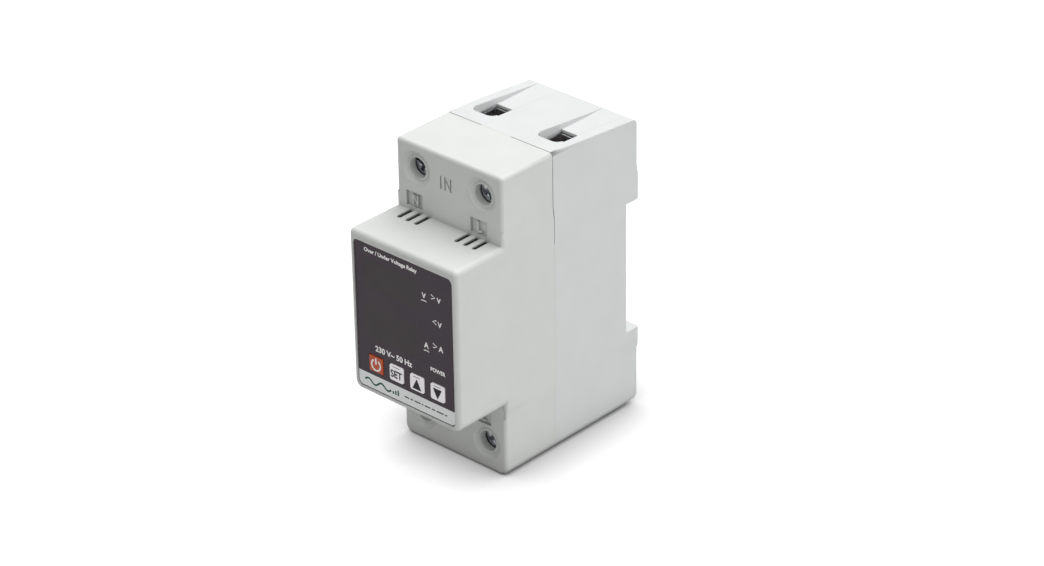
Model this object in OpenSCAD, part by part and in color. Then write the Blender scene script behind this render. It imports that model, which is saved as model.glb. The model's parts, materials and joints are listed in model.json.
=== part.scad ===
// Two-module DIN-rail voltage and current protector, with two displays, four keys,
// four screw terminals, a load relay and a sliding rail clip.
// +Z is up, -Y faces the user and +X is to the user's right. The origin is the centre
// of the rail seat: the middle of a 35 mm rail, on the plane that the rail lies on.

/* [Case] */
// Width of the case, two modules of 18 mm
case_w = 36; // [35.6:0.1:36]
// Height of the case above the rail's centre line
case_up = 43; // [42.8:0.1:43.6]
// Height of the case below the rail's centre line
case_down = 41; // [40.8:0.1:41.6]
// Distance from the rail seat to the front of the terminal blocks
shoulder_d = 45; // [44.8:0.1:45.2]
// Distance from the rail seat to the front rim of the nose
nose_d = 62; // [61.9:0.1:62.4]
// Height of the nose above the rail's centre line
nose_up = 24.4; // [24.2:0.1:24.8]
// Height of the nose below the rail's centre line
nose_down = 20.6; // [20.4:0.1:21]
// Distance from the rail seat to the seam between the two shells
seam_d = 26.7; // [26.4:0.1:27]
// Radius of the outer edges of the terminal blocks
edge_r = 1; // [0.6:0.1:1.3]
// Radius of the outer edges of the nose
nose_r = 1.3; // [1:0.1:1.5]

/* [Rail] */
// Height of the recess that the rail lies in
rail_gap = 36.9; // [36:0.1:37]
// Depth of the recess that the rail lies in
rail_depth = 4.5; // [4.4:0.1:4.6]
// Travel of the rail clip
clip_travel = 3.5; // [3:0.1:3.5]

/* [Terminals] */
// Distance of each terminal from the middle of the case
term_x = 10.9; // [10.8:0.1:11]
// Height of the upper screws above the rail's centre line
screw_up = 36.3; // [36.1:0.1:36.4]
// Depth of the lower screws below the rail's centre line
screw_down = 33.1; // [32.9:0.1:33.3]
// Diameter of the holes that a screwdriver goes through
driver_hole_d = 5.6; // [5.2:0.1:5.8]
// Thread diameter of the terminal screws
screw_d = 5; // [4.6:0.1:5]
// Width of each wire entry
entry_w = 7.2; // [6.8:0.1:7.4]

/* [Keys] */
// Distance from key to key
key_pitch = 7; // [6.9:0.1:7.1]
// Width of a key cap
key_w = 4.7; // [4.5:0.1:4.8]
// Height of a key cap
key_h = 4.5; // [4.3:0.1:4.6]
// How far a key cap stands out of the front overlay
key_proud = 0.25; // [0.25:0.05:0.3]

/* [Hidden] */
$fn = 64;
eps = 0.01;
half_w = case_w / 2;
far = 80;                          // further than any face of the case

// Case
relief = 0.4;                      // the ends of the case are this much narrower on each side
relief_up = 25.2;                  // the wide middle ends here above the rail line
relief_down = 21.4;                // and here below it
relief_ramp = 3;
hook_proud = 0.35;                 // the two ledges beside the rail stand this far out
hook_band = 4;
top_slope_y = -24;                 // behind this line the top face slopes down
top_drop = 2.45;
foot_y = -7.5;                     // behind this line the bottom face steps up
foot_step = 0.8;
foot_drop = 1.9;
heel = 0.8;
low_r = 2.4;                       // radius of the lower corners, seen from the front
back_y = rail_depth + hook_proud;
seam_y = -seam_d;
shoulder_y = -shoulder_d;
nose_y = -nose_d;

// Walls and cavities
wall = 1.8;
nose_wall = 1.6;
vent_skin = 0.5;                   // the nose's top wall is this thin round the vents
gauze_t = 0.4;
gauze_x = 14.2;
gauze_y = [-51, shoulder_y - 0.05];
inner_w = half_w - wall;
wall_y = shoulder_y + 2.7;         // back of the wall that the driver holes go through
room_up = 26.5;                    // the electronics room reaches from here
room_down = -23.5;                 // down to here
shelf = 1.5;                       // wall between the electronics room and the terminals
bay_in = 5.7;                      // each terminal bay starts here, beside the middle
bay_back = -9.6;
void_in = 4.3;
vault_up = 41.2;                   // ceiling of the front shell's terminal bays
vault_up_back = 39.8;              // ceiling of the rear base's terminal bays
vault_down = -39.2;                // floor of the front shell's lower bays
vault_down_back = -37.8;           // floor of the rear base's lower bays
front_wall_y = nose_y + 3.4;       // back of the nose's front wall
overlay_y = nose_y + 0.3;          // front of the overlay
overlay_t = 0.8;
overlay_x = 16.65;
overlay_z = [-19.3, 22.1];
overlay_gap = 0.18;
overlay_gap_low = 0.3;             // the overlay leaves a dark line along its lower edge

// Terminals
entry_y = [-21.6, -12];
entry_corner_r = 1.8;
entry_floor = 2.4;                 // depth of the channel that leads to the wire entry
channel_flare = 0.8;
dish_r = 4.7;                      // shallow dish around each driver hole
dish_depth = 1.05;
lip_w = 0.45;                      // collar that stands up in the dish, round the hole
lip_depth = 0.65;
head_r = 3.2;
head_front = wall_y + 0.2;
head_back = head_front + 1.8;
screw_tip = -23.05;
play = 0.05;                       // clearance of a screw in its cage and of the armature on its pivot
cage_y = [-30, -10.9];
cage_wall = 1.2;
cage_front = 2;                    // the threaded wall
cage_back = 1.5;
cage_half_w = 4.9;
cage_out = 3.3;                    // reach of the cage outwards from the screw
cage_in = 3.7;                     // and inwards
bar_y = [-23, -21.5];
bar_half_w = 3.2;

// Front: displays, keys and lamps
board_front = -52.4;
board_back = -50.8;
window_x = -4.35;
window_size = [19.2, 9.2];
module_size = [20.4, 10.2];
window_z = [13.6, 0.2];
key_x0 = 0.3;
key_z = -11.5;
key_gap = 0.15;
key_front = overlay_y - key_proud;
key_back = -57.15;
flange_t = 1.3;
flange_size = [6.2, 5.8];
key_travel = 0.3;
stem_r = 1.75;
stem_gap = 0.12;
stem_back = -55.2;
tact_size = 6;
tact_front = -55.9;
lamp_x = 11;
lamp_z = [17.4, 10.6, 3.9, -2.9];
lamp_r = 1;
vent_x = 9.7;
vent_pitch = 2.9;
vent_w = 1.3;
vent_l = 5.2;

// Boards and what stands on them
main_front = -38.2;
main_back = -36.6;
board_half_w = 15.8;

// Load relay
relay_x = [-2, 14.6];
relay_y = [-33, -3];
relay_z = [-12.5, 21];
relay_floor = 1.8;
relay_wall = 1;
magnet_x = 6.3;
magnet_y = -25.6;
yoke_z = relay_z[0] + relay_floor;
yoke_t = 1.2;
yoke_half_w = 4.3;
pole_z = 13.3;
pole_r = 3.6;
yoke_y = [-31.4, -18.4];
yoke_top = 14;
pivot_y = -19;                     // the armature tips on a bead along the yoke's upper edge
pivot_r = 0.3;
armature_z = [14.3, 15.5];
arm_y = [-18, -16.8];
arm_low = 3;
pusher_y = [-16.7, -13.1];
blade_y = [-12.9, -12.4];
blade_half_w = 3.3;
blade_foot = -10.2;
contact_z = 12;
contact_r = 2.2;
contact_t = 0.75;
fixed_y = [-9.7, -8.5];
fixed_top = 24;

// Current transformer
ct_x = 9;
ct_y = -22.25;
ct_z = [-22.5, -15];
ct_bore_r = 3.4;

// Rail clip
clip_y = [1.4, 4.3];
clip_half_w = 5;
clip_flange = 6.5;
clip_flange_z = [-33.9, -22];
clip_tip = -16.2;
clip_end = -case_down + 0.6;
clip_gap = 0.2;
clip_slot_z = [-33, -24];
clip_slot_half_w = 1.9;
post_z = [-32.8, -31];
spring_r = 1.1;
spring_wire_r = 0.2;
spring_turns = 7;

POLES = [-1, 1];                   // neutral on the left, live on the right
ENDS = [-1, 1];                    // lower and upper terminals
KEYS = [0, 1, 2, 3];               // power, set, up, down

// ---------- helpers ----------

// A box from its lowest corner to its highest
module block(lo, hi) translate(lo) cube(hi - lo);

// Range of a given half width about a middle
function about(middle, half) = [middle - half, middle + half];

// A box given by its range along each axis
module span(x, y, z) block([x[0], y[0], z[0]], [x[1], y[1], z[1]]);

// A (y, z) outline pushed from x0 to x1
module along_x(x0, x1) translate([x0, 0, 0]) rotate([90, 0, 90]) linear_extrude(x1 - x0) children();

// An (x, z) outline pushed from y0 to y1
module along_y(y0, y1) translate([0, y1, 0]) rotate([90, 0, 0]) linear_extrude(y1 - y0) children();

// An (x, y) outline pushed from z0 to z1
module along_z(z0, z1) translate([0, 0, z0]) linear_extrude(z1 - z0) children();

// Round rods along each axis
module rod_x(x0, x1, y, z, r) translate([x0, y, z]) rotate([0, 90, 0]) cylinder(h = x1 - x0, r = r);
module rod_y(y0, y1, x, z, r) translate([x, y1, z]) rotate([90, 0, 0]) cylinder(h = y1 - y0, r = r);
module rod_z(z0, z1, x, y, r) translate([x, y, z0]) cylinder(h = z1 - z0, r = r);

// What rounding takes off a square corner at p. The corner points outwards along out.
module corner_cut(p, out, r) {
    translate([p.x - out.x * r, p.y - out.y * r])
        difference() {
            translate([out.x > 0 ? 0 : -r - eps, out.y > 0 ? 0 : -r - eps]) square(r + eps);
            circle(r);
        }
}

// Places something made about the origin at a front corner's centre of rounding. The corner
// is at p, seen from the front, points outwards along out, and is rounded by r.
module at_corner(p, out, y, r) translate([p.x - out.x * r, y, p.y - out.y * r]) children();

// A round post along Y, from its front at 0 to its back at depth, with its front edge rounded
module post(r, depth, edge) {
    rotate([-90, 0, 0]) rotate_extrude() difference() {
        square([r, depth]);
        corner_cut([r, 0], [1, -1], edge);
    }
}

// The space from y0 to y1 on the outer side of a corner's centre of rounding
module quarter(out, r, y0, y1) {
    span(out.x > 0 ? [0, r + 1] : [-r - 1, 0], [y0, y1], out.y > 0 ? [0, r + 1] : [-r - 1, 0]);
}

// What rounding takes off a front corner: r is its radius from the front, and edge from the side
module corner_trim(p, out, y, r, edge) {
    at_corner(p, out, y, r) difference() {
        quarter(out, r, -1, edge);
        post(r, edge + 1, edge);
    }
}

// A rectangle from lo to hi with its upper corners rounded by r and its lower ones by foot
module round_rect(lo, hi, r, foot = undef) {
    low = is_undef(foot) ? r : foot;
    difference() {
        translate(lo) square(hi - lo);
        for (sx = [0, 1], sy = [0, 1])
            corner_cut([sx ? hi.x : lo.x, sy ? hi.y : lo.y], [2 * sx - 1, 2 * sy - 1],
                       sy ? r : low);
    }
}

// Straight strokes of a letter, each [x1, y1, x2, y2], all w wide
module strokes(list, w) {
    for (s = list) {
        run = norm([s[2] - s[0], s[3] - s[1]]);
        translate([s[0], s[1]]) rotate(atan2(s[3] - s[1], s[2] - s[0]))
            translate([-w / 2, -w / 2]) square([run + w, w]);
    }
}

// Strokes of the letters on the case, in a cell one unit high
LETTER_I = [[0, 0, 0, 1]];
LETTER_N = [[0, 0, 0, 1], [0, 1, 0.6, 0], [0.6, 0, 0.6, 1]];
LETTER_L = [[0, 1, 0, 0], [0, 0, 0.5, 0]];
LETTER_O = [[0, 0, 0.6, 0], [0.6, 0, 0.6, 1], [0.6, 1, 0, 1], [0, 1, 0, 0]];
LETTER_U = [[0, 1, 0, 0], [0, 0, 0.6, 0], [0.6, 0, 0.6, 1]];
LETTER_T = [[0, 1, 0.7, 1], [0.35, 1, 0.35, 0]];

// One letter, h high, its lower left corner at (x, z)
module letter(form, x, z, h) {
    translate([x, z]) strokes([for (s = form) s * h], 0.4);
}

// What belongs to a terminal, drawn for the upper right one with its screw at x = z = 0,
// and set at the chosen pole and end. +Z points out of the case.
module at_terminal(pole, end) {
    translate([pole * term_x, 0, end > 0 ? screw_up : -screw_down])
        mirror([0, 0, end > 0 ? 0 : 1]) children();
}

function key_x(i) = key_x0 + (i - 1.5) * key_pitch;

// ---------- case ----------

// Side view (y, z) of the case without its nose
module side_outline() {
    gap = rail_gap / 2;
    top_z = case_up - top_drop;
    foot_z = -case_down + foot_drop;
    difference() {
        polygon([
            [shoulder_y, -case_down],
            [foot_y, -case_down],
            [foot_y + foot_step, -case_down + foot_step],
            [rail_depth - heel, foot_z - 0.3],
            [rail_depth, foot_z + heel],
            [rail_depth, -gap - 2 * hook_band],
            [back_y, -gap - 2 * hook_band + hook_proud],
            [back_y, -gap],
            [0, -gap],
            [0, gap],
            [back_y, gap],
            [back_y, gap + hook_band],
            [rail_depth, gap + 2 * hook_band],
            [rail_depth, top_z - heel],
            [rail_depth - heel, top_z + 0.05],
            [top_slope_y, case_up],
            [shoulder_y, case_up]
        ]);
        corner_cut([shoulder_y, case_up], [-1, 1], edge_r);
        corner_cut([shoulder_y, -case_down], [-1, -1], edge_r);
        corner_cut([back_y, gap], [1, -1], edge_r);
    }
}

// Plan (x, y) of a part of the case with a half width of hw
module plan_outline(hw) {
    difference() {
        translate([-hw, shoulder_y]) square([2 * hw, back_y - shoulder_y]);
        for (s = POLES) {
            corner_cut([s * hw, shoulder_y], [s, -1], edge_r);
            corner_cut([s * hw, back_y], [s, 1], 0.5);
        }
    }
}

// The solid that both shells are cut from, up to the front of the terminal blocks
module body_solid() {
    narrow = half_w - relief;
    intersection() {
        along_x(-half_w, half_w) side_outline();
        union() {
            intersection() {
                along_y(-far, far)
                    round_rect([-narrow, -case_down], [narrow, case_up], edge_r, low_r);
                along_z(-far, far) plan_outline(narrow);
            }
            intersection() {
                along_y(-far, far) polygon([
                    [-narrow, -relief_down - relief_ramp], [narrow, -relief_down - relief_ramp],
                    [half_w, -relief_down], [half_w, relief_up],
                    [narrow, relief_up + relief_ramp], [-narrow, relief_up + relief_ramp],
                    [-half_w, relief_up], [-half_w, -relief_down]
                ]);
                along_z(-far, far) plan_outline(half_w);
            }
        }
    }
}

// The nose is a full-width middle, a row above and below it, and a turned piece in each corner
module nose_solid() {
    back = shoulder_y + 1;
    depth = back - nose_y;
    along_z(-nose_down + low_r, nose_up - nose_r) difference() {
        translate([-half_w, nose_y]) square([case_w, depth]);
        for (s = POLES) corner_cut([s * half_w, nose_y], [s, -1], nose_r);
    }
    for (row = [[nose_up, 1, nose_r], [-nose_down, -1, low_r]]) {
        end = row[0];
        up = row[1];
        r = row[2];
        along_x(-half_w + r, half_w - r) difference() {
            translate([nose_y, min(end, end - up * r)]) square([depth, r]);
            corner_cut([nose_y, end], [-1, up], nose_r);
        }
        for (s = POLES)
            at_corner([s * half_w, end], [s, up], nose_y, r) intersection() {
                post(r, depth, nose_r);
                quarter([s, up], r, -1, depth + 1);
            }
    }
}

// A shallow groove at the seam, round the upper end of the case only. It fades out down
// each side and is left out in the middle of the top face.
module seam_groove(y0, y1) {
    depth = 0.14;
    faint = 0.06;
    difference() {
        block([-far, y0, relief_up - 7], [far, y1, far]);
        along_y(y0 - 1, y1 + 1) round_rect(
            [-half_w + relief + depth, 0], [half_w - relief - depth, case_up - depth], edge_r);
        block([-half_w + faint, y0 - 1, 0], [half_w - faint, y1 + 1, relief_up]);
        block([-6, y0 - 1, 0], [4, y1 + 1, far]);
    }
}

// Label pocket with a raised letter, cut from a face at y, lower left corner at (x, z)
module label_cut(form, x, z) {
    along_y(shoulder_y - 1, shoulder_y + 0.7) difference() {
        translate([x, z]) square([5.5, 4.1]);
        letter(form, x + 2.3, z + 0.9, 2.4);
    }
}

// The front shell's cut-outs round one driver hole: the hole, and a hollow dish around it
// with a low collar at the hole's mouth
module driver_cut(pole, end) {
    hole_r = driver_hole_d / 2;
    floor_r = hole_r + lip_w + 0.25;
    at_terminal(pole, end) {
        rod_y(shoulder_y - 1, wall_y + 1, 0, 0, hole_r);
        translate([0, shoulder_y, 0]) rotate([-90, 0, 0]) rotate_extrude() polygon([
            [0, -1], [dish_r, -1], [dish_r, 0],
            [dish_r - 0.35, dish_depth * 0.45],
            [dish_r - 0.8, dish_depth * 0.85],
            [floor_r, dish_depth],
            [hole_r + lip_w, lip_depth + 0.1],
            [hole_r + lip_w / 2, lip_depth],
            [0, lip_depth]
        ]);
    }
}

// The ledge that holds a screw head: a plate with an open slot for the shank
module head_ledge(pole, end) {
    inward = end > 0 ? screw_up - room_up - shelf : screw_down + room_down - shelf;
    outward = end > 0 ? vault_up - screw_up : -vault_down - screw_down;
    side = [bay_in - term_x - eps, inner_w - term_x + eps];
    at_terminal(pole, end) difference() {
        block([pole > 0 ? side[0] : -side[1], head_back + 0.1, -inward - eps],
              [pole > 0 ? side[1] : -side[0], head_back + 1.1, outward + eps]);
        rod_y(head_back, head_back + 2, 0, 0, screw_d / 2 + 0.3);
        block([-screw_d / 2 - 0.3, head_back, -inward - 1], [screw_d / 2 + 0.3, head_back + 2, 0]);
    }
}

// One terminal bay, open from y0 to y1
module bay(pole, y0, y1, z0, z1) {
    span(pole > 0 ? [bay_in, inner_w] : [-inner_w, -bay_in], [y0, y1], [z0, z1]);
}

// Vent slots through the top wall of the nose, and the pocket under them for the gauze
module vents() {
    for (s = POLES, i = [-1, 0, 1])
        translate([s * vent_x + i * vent_pitch, 0, 0]) along_z(nose_up - nose_wall, nose_up + 1) {
            translate([-vent_w / 2, shoulder_y - vent_l + vent_w / 2])
                square([vent_w, vent_l - vent_w / 2]);
            translate([0, shoulder_y - vent_l + vent_w / 2]) circle(vent_w / 2);
        }
    span(about(0, gauze_x), [gauze_y[0], shoulder_y],
         [nose_up - nose_wall - eps, nose_up - vent_skin]);
}

// Windows, lamp holes and key holes, through whatever lies from y0 to y1
module front_holes(y0, y1) {
    for (i = KEYS)
        span(about(key_x(i), key_w / 2 + key_gap), [y0, y1],
             about(key_z, key_h / 2 + key_gap));
}

module windows(y0, y1) {
    for (z = window_z)
        span(about(window_x, window_size.x / 2), [y0, y1], about(z, window_size.y / 2));
    for (z = lamp_z) rod_y(y0, y1, lamp_x, z, lamp_r + 0.1);
}

module front_shell() {
    narrow = half_w - relief;
    color([0.86, 0.87, 0.85]) {
        difference() {
            union() {
                intersection() {
                    body_solid();
                    block([-far, -far, -far], [far, seam_y, far]);
                }
                nose_solid();
            }
            for (s = POLES) {
                corner_trim([s * narrow, case_up], [s, 1], shoulder_y, edge_r, edge_r);
                corner_trim([s * narrow, -case_down], [s, -1], shoulder_y, low_r, edge_r);
            }
            seam_groove(seam_y - 0.12, seam_y + 1);
            // electronics room, and the nose in front of it
            span([-inner_w, inner_w], [shoulder_y + 1.6, seam_y + 1], [room_down, room_up]);
            span([-inner_w, inner_w], [front_wall_y, shoulder_y + 2],
                 [-nose_down + nose_wall, nose_up - nose_wall]);
            // terminal bays, and the hollow walls between them
            for (pole = POLES) {
                bay(pole, wall_y, seam_y + 1, room_up + shelf, vault_up);
                bay(pole, wall_y, seam_y + 1, vault_down, room_down - shelf);
            }
            span([-void_in, void_in], [wall_y, seam_y + 1], [room_up - 1, vault_up]);
            span([-void_in, void_in], [wall_y, seam_y + 1], [vault_down, room_down + 1]);
            // front of the nose
            along_y(nose_y - 1, overlay_y + overlay_t)
                round_rect([-overlay_x, overlay_z[0]], [overlay_x, overlay_z[1]], 1.5);
            front_holes(overlay_y, front_wall_y + 1);
            windows(overlay_y, front_wall_y + 1);
            vents();
            for (pole = POLES, end = ENDS) driver_cut(pole, end);
            // grooves that the rear base's tongues snap into
            for (s = POLES) rod_z(-10.1, 12.1, s * (inner_w - 0.1), seam_y - 2.6, 0.6);
            // letters beside the terminals
            for (z = [25.3, -28]) {
                label_cut(LETTER_N, -term_x - 3.6, z);
                label_cut(LETTER_L, term_x - 3.8, z);
            }
            along_y(shoulder_y - 1, shoulder_y + 0.35) {
                letter(LETTER_I, -2.6, 33.8, 3.2);
                letter(LETTER_N, -1.2, 33.8, 3.2);
                letter(LETTER_O, -4.8, -27.6, 3.2);
                letter(LETTER_U, -1.9, -27.6, 3.2);
                letter(LETTER_T, 0.9, -27.6, 3.2);
            }
        }
        for (pole = POLES, end = ENDS) head_ledge(pole, end);
        // posts behind the front wall, which the display board stands on
        for (s = POLES, z = [-17.2, 20.6])
            rod_y(front_wall_y - eps, board_front, s * 14.3, z, 1.2);
        // ribs in front of the main board
        for (s = POLES, z = [-9.6, 9.6])
            span(s > 0 ? [14.9, inner_w + eps] : [-inner_w - eps, -14.9],
                 [board_back + 0.2, main_front], [z - 0.6, z + 0.6]);
    }
}

// Channel and hole for one wire, cut from the case's top or bottom face
module entry_cut(pole, end) {
    face = end > 0 ? case_up : case_down;
    ceiling = end > 0 ? vault_up_back : -vault_down_back;
    half = entry_w / 2;
    mirror([0, 0, end > 0 ? 0 : 1]) translate([pole * term_x, 0, 0]) {
        along_z(ceiling - 1, far) difference() {
            translate([-half, entry_y[0]]) square([entry_w, entry_y[1] - entry_y[0]]);
            for (s = POLES) corner_cut([s * half, entry_y[0]], [s, -1], entry_corner_r);
        }
        along_y(entry_y[0] + entry_corner_r, far) polygon([
            [-half, face - entry_floor],
            [half, face - entry_floor],
            [half + channel_flare * 0.4, face - 0.8],
            [half + channel_flare, face],
            [half + channel_flare * 2, far],
            [-half - channel_flare * 2, far],
            [-half - channel_flare, face],
            [-half - channel_flare * 0.4, face - 0.8]
        ]);
    }
}

// The way that the rail clip slides in, with a wider slot for its flanges
module clip_way() {
    span(about(0, clip_half_w + clip_gap), [clip_y[0] - clip_gap, far], [-far, 0]);
    span(about(0, clip_flange + clip_gap), [clip_y[0] - clip_gap, 2.7 + clip_gap],
         [clip_flange_z[0] - clip_travel - 0.3, clip_flange_z[1]]);
}

module rear_base() {
    room_back = -wall;
    color([0.85, 0.86, 0.88]) {
        difference() {
            intersection() {
                body_solid();
                block([-far, seam_y, -far], [far, far, far]);
            }
            seam_groove(seam_y - 1, seam_y + 0.12);
            // electronics room, and the hollows behind the terminal bays
            span([-inner_w, inner_w], [seam_y - 1, room_back], [room_down, room_up]);
            span([-inner_w, inner_w], [bay_back + shelf, room_back], [vault_down_back, room_up]);
            span([-inner_w, inner_w], [bay_back + shelf, rail_depth - wall],
                 [room_up - 6, vault_up_back - 0.9]);
            for (pole = POLES) {
                bay(pole, seam_y - 1, bay_back, room_up + shelf, vault_up_back);
                bay(pole, seam_y - 1, bay_back, vault_down_back, room_down - shelf);
                // notches that the bars lie in
                span(about(pole * term_x, bar_half_w + 0.2), [seam_y - 1, bar_y[1] + 0.2],
                     [room_up - 1, room_up + shelf + 1]);
                span(about(pole * term_x, bar_half_w + 0.2), [seam_y - 1, bar_y[1] + 0.2],
                     [room_down - shelf - 1, room_down + 1]);
            }
            span([-void_in, void_in], [seam_y - 1, bay_back], [room_up - 1, vault_up_back]);
            span([-void_in, void_in], [seam_y - 1, bay_back], [vault_down_back, room_down + 1]);
            for (pole = POLES, end = ENDS) entry_cut(pole, end);
            clip_way();
        }
        // tongues that reach into the front shell, each with a snap bead
        for (s = POLES) {
            span(s > 0 ? [14.9, inner_w - 0.1] : [-inner_w + 0.1, -14.9],
                 [seam_y - 3.8, seam_y + 1], [-12, 14]);
            span(s > 0 ? [14.9, inner_w + eps] : [-inner_w - eps, -14.9],
                 [seam_y, seam_y + 4], [-12, 14]);
            rod_z(-10, 12, s * (inner_w - 0.1), seam_y - 2.6, 0.5);
        }
        // fixed tooth behind the upper edge of the rail
        span([-12, 12], [1.3, rail_depth], [16.4, rail_gap / 2 + eps]);
        // post that the clip's spring stands on
        span([-1.5, 1.5], [clip_y[0] - clip_gap - eps, 3.9], post_z);
    }
}

// ---------- front ----------

module front_overlay() {
    color([0.2, 0.18, 0.2]) difference() {
        along_y(overlay_y, overlay_y + overlay_t) round_rect(
            [-overlay_x + overlay_gap, overlay_z[0] + overlay_gap_low],
            [overlay_x - overlay_gap, overlay_z[1] - overlay_gap], 1.4);
        front_holes(overlay_y - 1, overlay_y + overlay_t + 1);
    }
}

// Black dust gauze glued under the vent slots
module vent_gauze() {
    ceiling = nose_up - vent_skin;
    color([0.08, 0.08, 0.08])
        span(about(0, gauze_x - 0.1), gauze_y, [ceiling - gauze_t, ceiling]);
}

// A cap with a flange behind the front wall
module key_cap(i, tint) {
    x = key_x(i);
    color(tint) {
        along_y(key_front, key_back - flange_t + eps) round_rect(
            [x - key_w / 2, key_z - key_h / 2], [x + key_w / 2, key_z + key_h / 2], 0.6);
        span(about(x, flange_size.x / 2), [key_back - flange_t, key_back],
             about(key_z, flange_size.y / 2));
    }
}

module key_stem(i) {
    color([0.12, 0.12, 0.12]) rod_y(key_back, stem_back, key_x(i), key_z, stem_r);
}

module tact_switches() {
    half = tact_size / 2;
    color([0.25, 0.25, 0.26]) for (i = KEYS) difference() {
        span(about(key_x(i), half), [tact_front, board_front], about(key_z, half));
        rod_y(tact_front - 1, stem_back + key_travel + 0.3, key_x(i), key_z, stem_r + stem_gap);
    }
}

module display_board() {
    color([0.1, 0.35, 0.18])
        span([-board_half_w, board_half_w], [board_front, board_back], [-18.7, 22.5]);
}

// Three-digit module with seven bars a digit, each bar a shallow recess in its face
module digit_module(z) {
    front = front_wall_y + 0.2;
    digit_w = 3.4;
    digit_h = 7;
    bar = 0.7;
    color([0.13, 0.12, 0.12]) difference() {
        span(about(window_x, module_size.x / 2), [front, board_front],
             about(z, module_size.y / 2));
        for (i = [-1, 0, 1]) translate([window_x + i * 6.1, 0, z]) {
            for (row = [-1, 0, 1])
                span(about(0, digit_w / 2), [front - 1, front + 0.2],
                     about(row * digit_h / 2, bar / 2));
            for (side = [-1, 1], row = [-1, 1])
                span(about(side * (digit_w / 2 + 0.45), bar / 2), [front - 1, front + 0.2],
                     about(row * digit_h / 4, 1.2));
        }
    }
}

module indicator_lamps() {
    color([0.9, 0.9, 0.85]) for (z = lamp_z) {
        rod_y(front_wall_y - 1.2, board_front, lamp_x, z, lamp_r);
        rod_y(board_front - 1, board_front, lamp_x, z, lamp_r + 0.4);
    }
}

// Flat chip with legs on its two long sides. The legs stand on the plane y = 0 and the
// body reaches towards -Y, or towards +Y when flip is set.
module chip(length, width, count, flip = false) {
    pitch = length / (count + 0.2);
    mirror([0, flip ? 1 : 0, 0]) {
        span([-length / 2, length / 2], [-1.6, -0.15], [-width / 2, width / 2]);
        for (s = POLES, i = [0:count - 1])
            translate([(i - (count - 1) / 2) * pitch, 0, 0]) {
                span([-0.2, 0.2], [-0.3, 0],
                     s > 0 ? [width / 2 - 0.2, width / 2 + 1] : [-width / 2 - 1, -width / 2 + 0.2]);
            }
    }
}

module controller_chip() {
    color([0.1, 0.1, 0.11]) translate([0, board_back, -7]) chip(9, 4, 9, true);
}

// ---------- power and control ----------

module board_header() {
    color([0.08, 0.08, 0.08])
        span([-10.2, 10.2], [main_front - 2.5, main_front], [-17.8, -15.2]);
    color([0.8, 0.65, 0.3]) for (i = [0:7])
        span(about((i - 3.5) * 2.54, 0.32), [board_back, main_front - 2.5], about(-16.5, 0.32));
}

module main_board() {
    color([0.1, 0.35, 0.18])
        span([-board_half_w, board_half_w], [main_front, main_back], [-22.8, 25.8]);
}

module dropper_capacitor() {
    color([0.85, 0.7, 0.15]) along_y(main_front - 11, main_front)
        round_rect([-14.2, 12.4], [2.8, 19.4], 0.6);
}

module smoothing_capacitor() {
    color([0.12, 0.13, 0.2]) difference() {
        rod_y(main_front - 12, main_front, 9.3, 15, 5);
        translate([9.3, main_front - 10.6, 15]) rotate([90, 0, 0])
            rotate_extrude() translate([5.1, 0]) circle(0.4);
        for (a = [0, 90])
            translate([9.3, main_front - 12, 15]) rotate([0, a, 0])
                cube([6, 0.4, 0.4], center = true);
    }
}

module varistor() {
    x = -8.2;
    y = main_front - 5.8;
    color([0.1, 0.2, 0.55]) {
        rod_z(4.4, 8.2, x, y, 5.2);
        for (s = POLES) rod_y(main_front - 3, main_front, x + s * 3.6, 6.3, 0.4);
    }
}

module fuse_resistor() {
    y = main_front - 3;
    color([0.75, 0.65, 0.5]) {
        rod_x(-13, -4, y, 0, 2);
        for (x = [-13, -6]) rod_x(x, x + 2, y, 0, 2.3);
        rod_x(-14.4, -2.6, y, 0, 0.35);
        for (x = [-14.4, -2.6]) {
            rod_y(y, main_front, x, 0, 0.35);
            translate([x, y, 0]) sphere(0.35);
        }
    }
}

module bridge_rectifier() {
    color([0.1, 0.1, 0.1]) {
        span([3, 11.5], [main_front - 3.4, main_front - 0.6], [2.5, 9]);
        for (x = [4.7, 9.8], z = [2.9, 8.6])
            span([x - 0.4, x + 0.4], [main_front - 1, main_front], [z - 0.25, z + 0.25]);
    }
}

module driver_chip() {
    color([0.1, 0.1, 0.11]) translate([6.5, main_front, -5]) chip(5, 4, 4);
}

// Straight insulated leads from the back of the main board
module sense_leads() {
    color([0.7, 0.1, 0.1]) {
        rod_y(main_back, bar_y[0], -term_x, 6, 0.9);
        rod_y(main_back, bar_y[0], 12.2, 24.75, 0.9);
    }
}

module transformer_leads() {
    color([0.1, 0.1, 0.1]) for (x = [4, 7]) rod_y(main_back, ct_y - 7.35, x, -19, 0.6);
}

module current_transformer() {
    color([0.12, 0.14, 0.3]) difference() {
        along_z(ct_z[0], ct_z[1])
            round_rect([1.8, ct_y - 7.35], [16, ct_y + 7.35], 2);
        rod_z(ct_z[0] - 1, ct_z[1] + 1, ct_x, ct_y, ct_bore_r);
    }
}

// ---------- load relay ----------

module relay_base() {
    color([0.75, 0.72, 0.62]) difference() {
        span(relay_x, relay_y, [relay_z[0], yoke_z]);
        span(about(magnet_x, blade_half_w), blade_y + [-0.1, 1], [relay_z[0] - 1, yoke_z + 1]);
    }
}

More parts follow.
